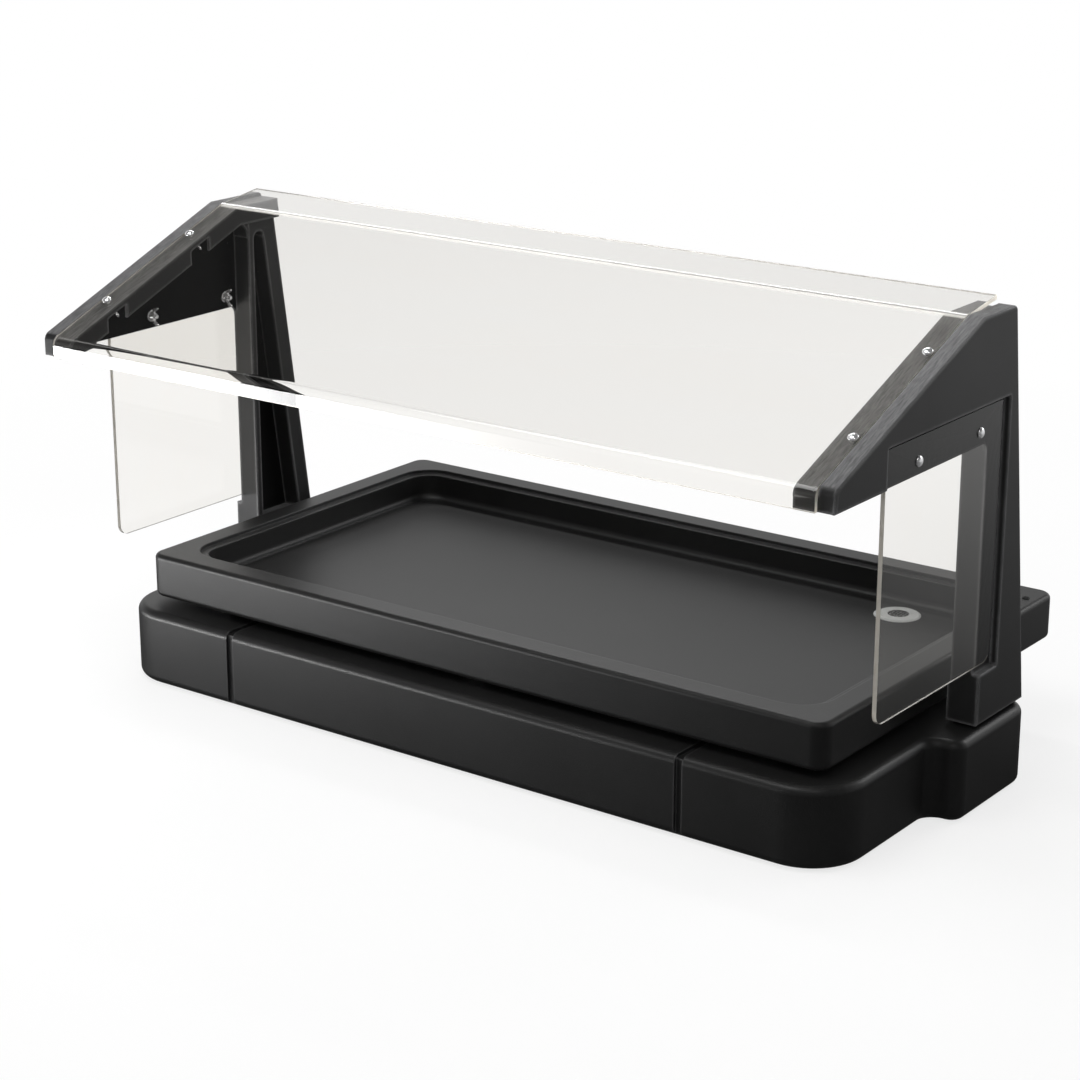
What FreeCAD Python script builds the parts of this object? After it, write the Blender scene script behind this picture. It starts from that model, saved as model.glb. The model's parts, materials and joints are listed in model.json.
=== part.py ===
"""Tabletop buffet bar: moulded plinth, insulated tray, two posts and a clear bent guard.

Millimetres. The front faces -Y, +X is to the right, and the bar stands on z = 0 about its middle.
"""
import FreeCAD, Part
import os
import re
import Sketcher

SIZES = {
    # Tray
    "tray_length": 1146,
    "tray_depth": 632,
    "tray_height": 65,
    "tray_rear_y": 377,
    "tray_corner_radius": 22,
    "tray_base_radius": 8,
    "tray_skin": 5,
    "rim_width": 50,
    "rim_edge_radius": 7,
    "rim_ledge_width": 12,
    "rim_ledge_depth": 6,
    "well_depth": 45,
    "well_corner_radius": 38,
    "well_floor_radius": 10,
    "foam_clearance": 0.3,
    "runner_height": 9,
    "runner_width": 34,
    "runner_end_inset": 103,
    "runner_front_inset": 40,
    "runner_rear_inset": 65,
    "runner_sink": 3,
    # Plinth
    "plinth_height": 113,
    "plinth_end_reach": 37,
    "plinth_front_reach": 37,
    "plinth_rear_reach": 10,
    "plinth_front_radius": 80,
    "plinth_rear_radius": 35,
    "plinth_edge_radius": 12,
    "plinth_wall": 8,
    "ear_reach": 42.5,
    "ear_front_reach": 57,
    "ear_curve_radius": 21,
    "ear_curve_spare": 0.2,
    "groove_inset": 226,
    "groove_width": 11,
    "groove_depth": 5,
    "groove_run": 100,
    "slip_pad_radius": 22,
    "slip_pad_thickness": 5,
    "slip_pad_stand": 2,
    "slip_pad_inset": 62,
    "slip_pad_clearance": 0.3,
    # Posts
    "post_inset": 8,
    "post_width": 45,
    "post_rim": 24.5,
    "post_edge_radius": 3,
    "arm_width": 56.5,
    "arm_tip_wall": 8,
    "plate_thickness": 9,
    "web_thickness": 5,
    "lip_wall": 5,
    "lip_drop": 34,
    "notch_half": 19,
    "gusset_radius": 12,
    "arch_radius": 26,
    "column_front_y": 10,
    "column_rear_y": 140,
    "cap_rear_y": 63,
    "cap_radius": 8,
    "channel_front_wall": 12,
    "channel_rear_wall": 28,
    "channel_top_drop": 52.5,
    "channel_foot_height": 47,
    "channel_arch_radius": 9,
    "foot_pad_thickness": 5,
    "foot_pad_inset": 8,
    # Clear sheets
    "sheet_thickness": 6,
    "sheet_clearance": 0.3,
    "bend_radius": 8,
    "brow_spare": 1,
    "guard_front_y": -377,
    "guard_lip_height": 27,
    "guard_brow_z": 525,
    "ridge_y": -24,
    "ridge_z": 664.5,
    "roof_rear_y": 52,
    "roof_rear_z": 676,
    "panel_front_y": -250,
    "panel_lap": 33,
    "panel_bottom_z": 200,
    "panel_top_z": 547,
    "panel_corner_radius": 16,
    "recess_depth": 10,
    "recess_gap": 3,
    "recess_rear_gap": 15,
    "recess_foot_gap": 12,
    # Hand fasteners of the clear sheets
    "screw_radius": 3,
    "screw_hole_gap": 0.4,
    "screw_spare": 4,
    "head_radius": 7,
    "head_height": 4.5,
    "washer_radius": 8.5,
    "washer_thickness": 1.5,
    "nut_hub_radius": 7,
    "nut_crown_radius": 5,
    "nut_height": 7,
    "nut_bore_gap": 0.08,
    "wing_radius": 14,
    "wing_height": 13,
    "wing_thickness": 3,
    "guard_screw_inset": 34,
    "guard_screw_front_y": -278,
    "guard_screw_rear_y": -105,
    "panel_screw_drop": 31,
    "panel_screw_front_y": -171,
    "panel_screw_rear_y": -14,
    # Post bolts
    "bolt_radius": 5,
    "bolt_hole_gap": 0.5,
    "bolt_head_radius": 9.8,
    "bolt_head_height": 7,
    "bolt_washer_radius": 11,
    "bolt_washer_thickness": 2,
    "bolt_inset": 32,
    "bolt_end_gap": 1,
    "sleeve_radius": 17,
    "counterbore_radius": 12.5,
    "counterbore_depth": 18,
    "insert_radius": 8,
    "insert_length": 24,
    "insert_gap": 0.1,
    # Drain
    "drain_end_inset": 193,
    "drain_rear_inset": 107,
    "drain_flange_radius": 32,
    "drain_flange_thickness": 3,
    "drain_flange_edge": 1,
    "drain_flange_bevel": 3,
    "drain_tube_radius": 15,
    "drain_bore_radius": 11,
    "drain_hole_gap": 0.4,
    "drain_boss_radius": 24,
    "gasket_radius": 26,
    "gasket_thickness": 2,
    "locknut_radius": 24,
    "locknut_thickness": 8,
    "strainer_thickness": 1.5,
    "strainer_slot": 2.4,
    "strainer_rim": 2,
    "strainer_gap": 0.2,
    "valve_radius": 19,
    "valve_height": 44,
    "valve_floor": 6,
    "spigot_radius": 9.5,
    "spigot_bore": 6.5,
    "spigot_reach": 52,
    "spigot_rise": 16,
    "collar_radius": 13,
    "collar_reach": 22,
    "stem_radius": 5,
    "stem_reach": 13,
    "stem_gap": 0.05,
    "stem_boss_wall": 5,
    "stem_boss_stand": 4,
    "lever_length": 58,
    "lever_width": 12,
    "lever_thickness": 4,
    "lever_gap": 0.3,
    "lever_end_spare": 0.2,
    # How far a cutting shape runs past the face that it opens
    "overcut": 1,
}

# Sizes that follow from the ones above
DERIVED = {
    "tray_half": "tray_length / 2",
    "tray_front_y": "tray_rear_y - tray_depth",
    "tray_bottom_z": "plinth_height + runner_height",
    "tray_top_z": "tray_bottom_z + tray_height",
    "floor_z": "tray_top_z - well_depth",
    "runner_pitch": "tray_half - runner_end_inset",
    "runner_front_y": "tray_front_y + runner_front_inset",
    "runner_length": "plinth_rear_y - runner_rear_inset - runner_front_y",
    "plinth_bottom_z": "slip_pad_stand",
    "plinth_front_y": "tray_front_y - plinth_front_reach",
    "plinth_rear_y": "column_rear_y + plinth_rear_reach",
    "plinth_half": "tray_half + plinth_end_reach",
    "ear_half": "plinth_half + ear_reach",
    "ear_front_y": "column_front_y - ear_front_reach",
    "groove_offset": "plinth_half - groove_inset",
    "post_outer_x": "ear_half - post_inset",
    "post_inner_x": "post_outer_x - post_width",
    "post_middle_x": "post_outer_x - post_width / 2",
    "arm_inner_x": "post_outer_x - arm_width",
    "recess_x": "post_outer_x - recess_depth",
    "web_x": "recess_x - web_thickness",
    "sheet_half": "post_outer_x - post_rim",
    "foot_z": "plinth_height + foot_pad_thickness",
    "channel_top_z": "ridge_z - channel_top_drop",
    "channel_bottom_z": "foot_z + channel_foot_height",
    "guard_lip_z": "guard_brow_z - guard_lip_height",
    "panel_rear_y": "column_front_y + panel_lap",
    "recess_rear_y": "panel_rear_y + recess_rear_gap",
    "recess_bottom_z": "panel_bottom_z - recess_foot_gap",
    "arm_front_y": "guard_front_y + sheet_thickness + sheet_clearance",
    "slope_rise": "(ridge_z - guard_brow_z) / (ridge_y - guard_front_y)",
    "slope_run": "sqrt(1 + slope_rise ^ 2)",
    "roof_rise": "(roof_rear_z - ridge_z) / (roof_rear_y - ridge_y)",
    "roof_run": "sqrt(1 + roof_rise ^ 2)",
    "rebate_drop": "sheet_thickness + sheet_clearance",
    "plate_drop": "rebate_drop + plate_thickness",
    "gusset_cut_z": "guard_lip_z - gusset_radius - overcut",
    "guard_screw_x": "post_outer_x - guard_screw_inset",
    "panel_screw_z": "panel_top_z - panel_screw_drop",
    "screw_hole": "screw_radius + screw_hole_gap",
    "bolt_hole": "bolt_radius + bolt_hole_gap",
    "bolt_front_y": "column_front_y + bolt_inset",
    "bolt_rear_y": "column_rear_y - bolt_inset",
    "bolt_seat_z": "plinth_bottom_z + counterbore_depth",
    "drain_x": "tray_half - drain_end_inset",
    "drain_y": "tray_rear_y - drain_rear_inset",
    "drain_hole": "drain_tube_radius + drain_hole_gap",
    "valve_top_z": "tray_bottom_z - gasket_thickness - locknut_thickness",
    "valve_bottom_z": "valve_top_z - valve_height",
    "spigot_z": "valve_bottom_z + spigot_rise",
    "stem_face_x": "drain_x + valve_radius + stem_boss_stand",
}

SIDES = {"left": -1, "right": 1}

doc = FreeCAD.newDocument("buffet_bar")
sheet = doc.addObject("Spreadsheet::Sheet", "sizes")
for row, (alias, size) in enumerate(SIZES.items(), start=1):
    sheet.set(f"A{row}", alias)
    sheet.set(f"B{row}", str(size))
    sheet.setAlias(f"B{row}", alias)
doc.recompute()

node_names = []


# Expressions

def formula(words):
    """Spell an expression of size names as cells of the sheet."""
    def spell(match):
        name = match.group(0)
        if name in DERIVED:
            return f"({formula(DERIVED[name])})"
        return f"sizes.{name}" if name in SIZES else name
    return re.sub(r"[a-z_]+", spell, str(words))


def number(words):
    """Work an expression out now."""
    return float(sheet.evalExpression(formula(words)))


def bind(target, path, words):
    target.setExpression(path, formula(words))


def slope_z(y, drop="0"):
    """Height of the guard's front slope at y, this far inside its outer face."""
    return f"(guard_brow_z + ({y} - guard_front_y) * slope_rise - ({drop}) * slope_run)"


def roof_z(y, drop="0"):
    """Height of the guard's roof strip at y, this far inside its outer face."""
    return f"(ridge_z + ({y} - ridge_y) * roof_rise - ({drop}) * roof_run)"


def cap_bend_y(drop):
    """Where the slope meets the post's level cap, this far inside their outer faces."""
    return f"(ridge_y + ({drop}) * (slope_run - 1) / slope_rise)"


def rear_edge_y(z):
    """The column's leaning rear edge at height z."""
    return f"(cap_rear_y + (ridge_z - {z}) / (ridge_z - foot_z) * (column_rear_y - cap_rear_y))"


# Sketches and solids

def new_body(name):
    return doc.addObject("PartDesign::Body", name)


def new_sketch(body, name, plane, offset="0"):
    """Sketch on one of the body's own origin planes, moved along the plane's normal."""
    sketch = body.newObject("Sketcher::SketchObject", name)
    support = next(item for item in body.Origin.OriginFeatures if item.Role == plane)
    sketch.AttachmentSupport = (support, [""])
    sketch.MapMode = "FlatFace"
    bind(sketch, "AttachmentOffset.Base.z", offset)
    return sketch


def add_outline(sketch, corners):
    """Closed outline of straight lines, with each corner tied to two expressions."""
    points = [FreeCAD.Vector(number(x), number(y), 0) for x, y in corners]
    first = sketch.GeometryCount
    count = len(points)
    for i in range(count):
        sketch.addGeometry(Part.LineSegment(points[i], points[(i + 1) % count]))
    for i in range(count):
        sketch.addConstraint(Sketcher.Constraint("Coincident", first + i, 2, first + (i + 1) % count, 1))
    for i, corner in enumerate(corners):
        for kind, words in zip(("DistanceX", "DistanceY"), corner):
            tie = sketch.addConstraint(Sketcher.Constraint(kind, -1, 1, first + i, 1, number(words)))
            bind(sketch, f"Constraints[{tie}]", words)


def rectangle(x_low, x_high, y_low, y_high):
    return [(x_low, y_low), (x_high, y_low), (x_high, y_high), (x_low, y_high)]


def extrude(body, kind, sketch, length, reverse=False):
    """Pad or pocket a sketch; a pad runs along the sketch's normal, a pocket against it."""
    feature = body.newObject(f"PartDesign::{kind}", f"{sketch.Name}_{kind.lower()}")
    feature.Profile = sketch
    bind(feature, "Length", length)
    feature.Reversed = reverse
    doc.recompute()
    return feature


def cut(body, sketch, length, reverse=False):
    """Pocket that must take something away."""
    before = body.Shape.Volume
    feature = extrude(body, "Pocket", sketch, length, reverse)
    if body.Shape.Volume >= before:
        raise RuntimeError(f"{feature.Name} cuts nothing")
    return feature


def round_edges(body, name, radius, chosen):
    """Fillet the edges of the body's last feature that a test picks out."""
    doc.recompute()
    base = body.Tip
    edges = [f"Edge{i}" for i, edge in enumerate(base.Shape.Edges, start=1) if chosen(edge)]
    if not edges:
        raise RuntimeError(f"{name} finds no edge")
    fillet = body.newObject("PartDesign::Fillet", name)
    fillet.Base = (base, edges)
    bind(fillet, "Radius", radius)
    doc.recompute()
    return fillet


NEAR = 0.01


def runs_along(edge, axis):
    """True for a straight edge along one axis, given by its index."""
    start, end = edge.Vertexes[0].Point, edge.Vertexes[-1].Point
    others = [i for i in range(3) if i != axis]
    return abs(start[axis] - end[axis]) > NEAR and all(abs(start[i] - end[i]) < NEAR for i in others)


def at_corners(axis, corners):
    """Test for edges along an axis that stand at one of the given pairs of expressions."""
    others = [i for i in range(3) if i != axis]
    places = [(number(a), number(b)) for a, b in corners]

    def test(edge):
        point = edge.Vertexes[0].Point
        spot = point[others[0]], point[others[1]]
        close = any(abs(spot[0] - a) < NEAR and abs(spot[1] - b) < NEAR for a, b in places)
        return close and runs_along(edge, axis)
    return test


def in_plane(axis, words):
    """Test for edges that lie wholly in a plane square to an axis."""
    place = number(words)

    def test(edge):
        box = edge.BoundBox
        low = (box.XMin, box.YMin, box.ZMin)[axis]
        high = (box.XMax, box.YMax, box.ZMax)[axis]
        return abs(low - place) < NEAR and abs(high - place) < NEAR
    return test


def turned(name, profile):
    """Round piece about its own Z axis from (radius, height) expressions."""
    body = new_body(name)
    sketch = new_sketch(body, f"{name}_profile", "XZ_Plane")
    add_outline(sketch, profile)
    feature = body.newObject("PartDesign::Revolution", f"{name}_turn")
    feature.Profile = sketch
    feature.ReferenceAxis = (sketch, ["V_Axis"])
    doc.recompute()
    return body


def ring(name, inner, outer, low, high):
    return turned(name, rectangle(inner, outer, low, high))


def place(item, x, y, z):
    for axis, words in zip("xyz", (x, y, z)):
        bind(item, f"Placement.Base.{axis}", words)
    return item


def turn(item, axis, degrees):
    """Turn an item about an axis by an angle expression."""
    item.Placement = FreeCAD.Placement(FreeCAD.Vector(), FreeCAD.Rotation(axis, 1))
    item.setExpression("Placement.Rotation.Angle", formula(degrees))
    return item


ALONG_X = FreeCAD.Vector(1, 0, 0)
ALONG_Y = FreeCAD.Vector(0, 1, 0)


def rod(name, radius, length, x="0", y="0", z="0"):
    """Plain upright cylinder, used for holes and sleeves."""
    item = doc.addObject("Part::Cylinder", name)
    bind(item, "Radius", radius)
    bind(item, "Height", length)
    return place(item, x, y, z)


def collect(name, members):
    group = doc.addObject("Part::Compound", name)
    group.Links = members
    return group


def subtract(name, base, tool):
    result = doc.addObject("Part::Cut", name)
    result.Base = base
    result.Tool = tool
    doc.recompute()
    return result


def join(name, members):
    result = doc.addObject("Part::MultiFuse", name)
    result.Shapes = members
    doc.recompute()
    return result


def node(name, item):
    """Give a finished sub-part the name of its file."""
    item.Label = name
    node_names.append((name, item))
    return item


# Plinth

def plinth_form(name, inset, low, high):
    """Plinth outline with an ear at each end, drawn in by an inset all round."""
    half = f"(plinth_half - {inset})"
    ear = f"(ear_half - {inset})"
    front = f"(plinth_front_y + {inset})"
    step = f"(ear_front_y + {inset})"
    rear = f"(plinth_rear_y - {inset})"
    right = [(half, front), (half, step), (ear, step), (ear, rear)]
    left = [(f"0 - {x}", y) for x, y in reversed(right)]
    body = new_body(name)
    sketch = new_sketch(body, f"{name}_outline", "XY_Plane", low)
    add_outline(sketch, right + left)
    extrude(body, "Pad", sketch, f"({high}) - ({low})")
    mirror = (1, -1)
    front_corners = [(f"{s} * {half}", front) for s in mirror]
    rear_corners = [(f"{s} * {ear}", rear) for s in mirror]
    ear_corners = [(f"{s} * {x}", step) for s in mirror for x in (half, ear)]
    curve = "min(ear_curve_radius; ear_reach / 2 - ear_curve_spare)"
    round_edges(body, f"{name}_front", f"plinth_front_radius - {inset}", at_corners(2, front_corners))
    round_edges(body, f"{name}_rear", f"plinth_rear_radius - {inset}", at_corners(2, rear_corners))
    round_edges(body, f"{name}_ears", curve, at_corners(2, ear_corners))
    return body


def bolt_spots(side):
    return [(f"{side} * post_middle_x", y) for y in ("bolt_front_y", "bolt_rear_y")]


def slip_pad_spots():
    across = ["plinth_half - slip_pad_inset", "(plinth_half - slip_pad_inset) / 3"]
    along = ["plinth_front_y + slip_pad_inset", "plinth_rear_y - slip_pad_inset"]
    return [(f"{side} * ({x})", y) for side in SIDES.values() for x in across for y in along]


def make_plinth():
    """Closed hollow moulding with bolt sleeves, two grooves and seats for its non-slip pads."""
    low, high = "plinth_bottom_z", "plinth_height"
    outer = plinth_form("plinth_outer", "0", low, high)
    rims = in_plane(2, low), in_plane(2, high)
    round_edges(outer, "plinth_edges", "plinth_edge_radius", lambda edge: any(rim(edge) for rim in rims))
    for word, side in SIDES.items():
        middle = f"{side} * groove_offset - groove_width / 2"
        sketch = new_sketch(outer, f"groove_{word}", "YZ_Plane", middle)
        front, top = "plinth_front_y", "plinth_height"
        add_outline(sketch, [
            (f"{front} - overcut", "0"), (f"{front} + groove_depth", "0"),
            (f"{front} + groove_depth", f"{top} - groove_depth"),
            (f"{front} + groove_run", f"{top} - groove_depth"),
            (f"{front} + groove_run", f"{top} + overcut"), (f"{front} - overcut", f"{top} + overcut")])
        cut(outer, sketch, "groove_width", reverse=True)
    wall = "plinth_wall"
    hollow = plinth_form("plinth_hollow", wall, f"{low} + {wall}", f"{high} - {wall}")
    spots = [spot for side in SIDES.values() for spot in bolt_spots(side)]
    sleeves = [rod(f"sleeve_{i}", "sleeve_radius", high, x, y) for i, (x, y) in enumerate(spots)]
    hollow = subtract("plinth_void", hollow, collect("sleeves", sleeves))
    holes = [rod(f"bolt_hole_{i}", "bolt_hole", f"{high} + overcut", x, y) for i, (x, y) in enumerate(spots)]
    holes += [rod(f"bolt_pit_{i}", "counterbore_radius", "bolt_seat_z", x, y)
              for i, (x, y) in enumerate(spots)]
    holes += [rod(f"pad_seat_{i}", "slip_pad_radius + slip_pad_clearance", "slip_pad_thickness", x, y)
              for i, (x, y) in enumerate(slip_pad_spots())]
    shell = subtract("plinth_skin", outer, hollow)
    node("plinth_shell", subtract("plinth", shell, join("plinth_holes", holes)))
    pads = [place(ring(f"slip_pad_{i}", "0", "slip_pad_radius", "0", "slip_pad_thickness"), x, y, "0")
            for i, (x, y) in enumerate(slip_pad_spots())]
    node("plinth_non_slip_pads", collect("slip_pads", pads))


# Tray

def block(name, inset, low, high, radius):
    """Upright block on the tray's footprint, drawn in by an inset, with rounded corners."""
    half = f"(tray_half - ({inset}))"
    front, rear = f"(tray_front_y + ({inset}))", f"(tray_rear_y - ({inset}))"
    body = new_body(name)
    sketch = new_sketch(body, f"{name}_outline", "XY_Plane", low)
    add_outline(sketch, rectangle(f"0 - {half}", half, front, rear))
    extrude(body, "Pad", sketch, f"({high}) - ({low})")
    corners = [(f"{s} * {half}", y) for s in (1, -1) for y in (front, rear)]
    round_edges(body, f"{name}_corners", radius, at_corners(2, corners))
    return body


def make_tray():
    """Double-walled tray with a sunk well, its foam core and the runners that it slides on."""
    outer = block("tray_outer", "0", "tray_bottom_z", "tray_top_z", "tray_corner_radius")
    round_edges(outer, "tray_foot_edge", "tray_base_radius", in_plane(2, "tray_bottom_z"))
    round_edges(outer, "tray_rim_edge", "rim_edge_radius", in_plane(2, "tray_top_z"))
    well = block("tray_well", "rim_width", "floor_z", "tray_top_z + overcut", "well_corner_radius")
    round_edges(well, "well_floor_edge", "well_floor_radius", in_plane(2, "floor_z"))
    ledge = block("tray_ledge", "rim_width - rim_ledge_width", "tray_top_z - rim_ledge_depth",
                  "tray_top_z + overcut", "well_corner_radius + rim_ledge_width")
    drain = ("drain_x", "drain_y")
    hole = rod("drain_hole", "drain_hole", "tray_height", *drain, "tray_bottom_z - overcut")
    cavity = foam_form("tray_cavity", "0")
    tools = join("tray_tools", [well, ledge, hole])
    solid = subtract("tray_solid", outer, tools)
    seats = collect("runner_seats", [runner(f"runner_seat_{i}", i, "foam_clearance") for i in (-1, 0, 1)])
    node("tray_shell", subtract("tray_hollow", subtract("tray_seated", solid, seats), cavity))
    node("tray_foam_core", foam_form("tray_foam", "foam_clearance"))
    node("tray_runners", collect("runners", [runner(f"runner_{i}", i, "0") for i in (-1, 0, 1)]))


def foam_form(name, gap):
    """Space between the tray's two skins, less a gap all round."""
    skin = f"(tray_skin + {gap})"
    top = f"tray_top_z - rim_ledge_depth - {skin}"
    outside = block(f"{name}_outside", skin, f"tray_bottom_z + {skin}", top, f"tray_corner_radius - {skin}")
    inside = block(f"{name}_inside", f"rim_width - {skin}", f"floor_z - {skin}", "tray_top_z",
                   f"well_corner_radius + {skin}")
    boss = rod(f"{name}_boss", f"drain_boss_radius + {gap}", "tray_height", "drain_x", "drain_y",
               "tray_bottom_z")
    return subtract(name, outside, join(f"{name}_tools", [inside, boss]))


def runner(name, index, gap):
    """Glide strip along Y, let into the tray's underside."""
    item = doc.addObject("Part::Box", name)
    bind(item, "Length", f"runner_width + 2 * {gap}")
    bind(item, "Width", f"runner_length + 2 * {gap}")
    bind(item, "Height", "runner_height + runner_sink")
    left_edge = f"{index} * runner_pitch - runner_width / 2 - {gap}"
    return place(item, left_edge, f"runner_front_y - {gap}", "plinth_height")


# Drain

def make_drain():
    """Drain through the tray's rear overhang: flange, strainer, seal, lock nut and quarter-turn valve."""
    tube, bore = "drain_tube_radius", "drain_bore_radius"
    lip = "floor_z + drain_flange_thickness"
    strainer_seat = f"{lip} - strainer_thickness"
    flange = turned("drain_flange_form", [
        (bore, "valve_top_z"), (tube, "valve_top_z"), (tube, "floor_z"), ("drain_flange_radius", "floor_z"),
        ("drain_flange_radius", "floor_z + drain_flange_edge"),
        ("drain_flange_radius - drain_flange_bevel", lip), (f"{tube} + strainer_gap", lip),
        (f"{tube} + strainer_gap", strainer_seat), (bore, strainer_seat)])
    node("drain_flange", place(flange, "drain_x", "drain_y", "0"))
    disc = rod("strainer_disc", tube, "strainer_thickness", "drain_x", "drain_y", strainer_seat)
    slots = []
    for i in range(-2, 3):
        slot = doc.addObject("Part::Box", f"strainer_slot_{i}")
        bind(slot, "Length", "strainer_slot")
        half = f"({bore} - strainer_rim - {abs(i)})"
        bind(slot, "Width", f"2 * {half}")
        bind(slot, "Height", "3 * strainer_thickness")
        place(slot, f"drain_x + {2 * i - 0.5} * strainer_slot", f"drain_y - {half}",
              f"{strainer_seat} - strainer_thickness")
        slots.append(slot)
    node("drain_strainer", subtract("strainer", disc, collect("strainer_slots", slots)))
    seal_low = "tray_bottom_z - gasket_thickness"
    seal = ring("drain_seal", "drain_hole", "gasket_radius", seal_low, "tray_bottom_z")
    node("drain_gasket", place(seal, "drain_x", "drain_y", "0"))
    nut = doc.addObject("Part::Prism", "locknut_form")
    bind(nut, "Circumradius", "locknut_radius")
    bind(nut, "Height", "locknut_thickness")
    place(nut, "drain_x", "drain_y", "valve_top_z")
    nut_hole = rod("locknut_hole", "drain_hole", "3 * locknut_thickness", "drain_x", "drain_y",
                   "valve_top_z - locknut_thickness")
    node("drain_locknut", subtract("locknut", nut, nut_hole))
    make_valve()


def make_valve():
    """Valve body with a rear hose tail, and the lever on its side stem."""
    spot = ("drain_x", "drain_y")
    barrel = rod("valve_barrel", "valve_radius", "valve_height", *spot, "valve_bottom_z")
    tail = turn(rod("hose_tail", "spigot_radius", "spigot_reach"), ALONG_X, "0 - 90")
    place(tail, *spot, "spigot_z")
    stem_boss = turn(rod("stem_boss", "stem_radius + stem_boss_wall", "stem_face_x - drain_x"), ALONG_Y, "90")
    place(stem_boss, *spot, "spigot_z")
    collar = turn(rod("hose_collar", "collar_radius", "collar_reach"), ALONG_X, "0 - 90")
    place(collar, *spot, "spigot_z")
    solid = join("valve_solid", [barrel, collar, tail, stem_boss])
    throat = rod("valve_throat", "drain_bore_radius", "valve_height", *spot, "valve_bottom_z + valve_floor")
    tail_bore = turn(rod("tail_bore", "spigot_bore", "spigot_reach + overcut"), ALONG_X, "0 - 90")
    place(tail_bore, *spot, "spigot_z")
    stem_bore = turn(rod("stem_bore", "stem_radius + stem_gap", "stem_reach + overcut"), ALONG_Y, "90")
    place(stem_bore, "stem_face_x - stem_reach", "drain_y", "spigot_z")
    bores = join("valve_bores", [throat, tail_bore, stem_bore])
    node("drain_valve_body", subtract("valve_body", solid, bores))
    start = "stem_face_x + lever_gap"
    stem = turn(rod("lever_stem", "stem_radius", "stem_reach + 0.5 * lever_thickness"), ALONG_Y, "90")
    place(stem, f"{start} - stem_reach", "drain_y", "spigot_z")
    blade = new_body("lever_blade")
    sketch = new_sketch(blade, "lever_outline", "YZ_Plane", start)
    half, end = "lever_width / 2", "spigot_z - lever_length"
    add_outline(sketch, rectangle(f"drain_y - {half}", f"drain_y + {half}", end, f"spigot_z + {half}"))
    extrude(blade, "Pad", sketch, "lever_thickness")
    corners = [(f"drain_y + {s} * {half}", z) for s in (1, -1) for z in (end, f"spigot_z + {half}")]
    round_edges(blade, "lever_ends", f"{half} - lever_end_spare", at_corners(0, corners))
    node("drain_lever", join("lever", [stem, blade]))


# Posts

def slab(body, kind, name, side, start, finish, corners):
    """Pad or pocket an outline of (y, z) corners between two distances from the bar's middle."""
    sketch = new_sketch(body, name, "YZ_Plane", f"{side} * ({start})")
    add_outline(sketch, corners)
    towards_plus = (number(finish) - number(start)) * side > 0
    if kind == "Pad":
        return extrude(body, kind, sketch, f"abs(({finish}) - ({start}))", reverse=not towards_plus)
    return cut(body, sketch, f"abs(({finish}) - ({start}))", reverse=towards_plus)


def guard_screw_spots():
    return {"front": "guard_screw_front_y", "rear": "guard_screw_rear_y"}


def panel_screw_spots():
    return {"front": "panel_screw_front_y", "rear": "panel_screw_rear_y"}


def on_slope(item, side, y, depth):
    """Stand an item on the guard's slope at a screw, this far below the outer face."""
    turn(item, ALONG_X, "atan(slope_rise)")
    along = f"({y} + ({depth}) * slope_rise / slope_run)"
    return place(item, f"{side} * guard_screw_x", along, f"{slope_z(y)} - ({depth}) / slope_run")


def on_panel(item, side, y, x, inward=False):
    """Lay an item along X at a side-panel screw, facing outwards or inwards."""
    sense = -side if inward else side
    turn(item, ALONG_Y, f"{sense} * 90" if sense > 0 else "0 - 90")
    return place(item, f"{side} * ({x})", y, "panel_screw_z")


def screw_holes(name, side, which):
    """Clearance holes of one side's guard or panel screws."""
    tools = []
    spots = guard_screw_spots() if which == "guard" else panel_screw_spots()
    for word, y in spots.items():
        hole = rod(f"{name}_{word}", "screw_hole", "4 * plate_drop")
        if which == "guard":
            tools.append(on_slope(hole, side, y, "2 * plate_drop"))
        else:
            tools.append(on_panel(hole, side, y, "post_outer_x - 2 * plate_drop"))
    return tools


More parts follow.
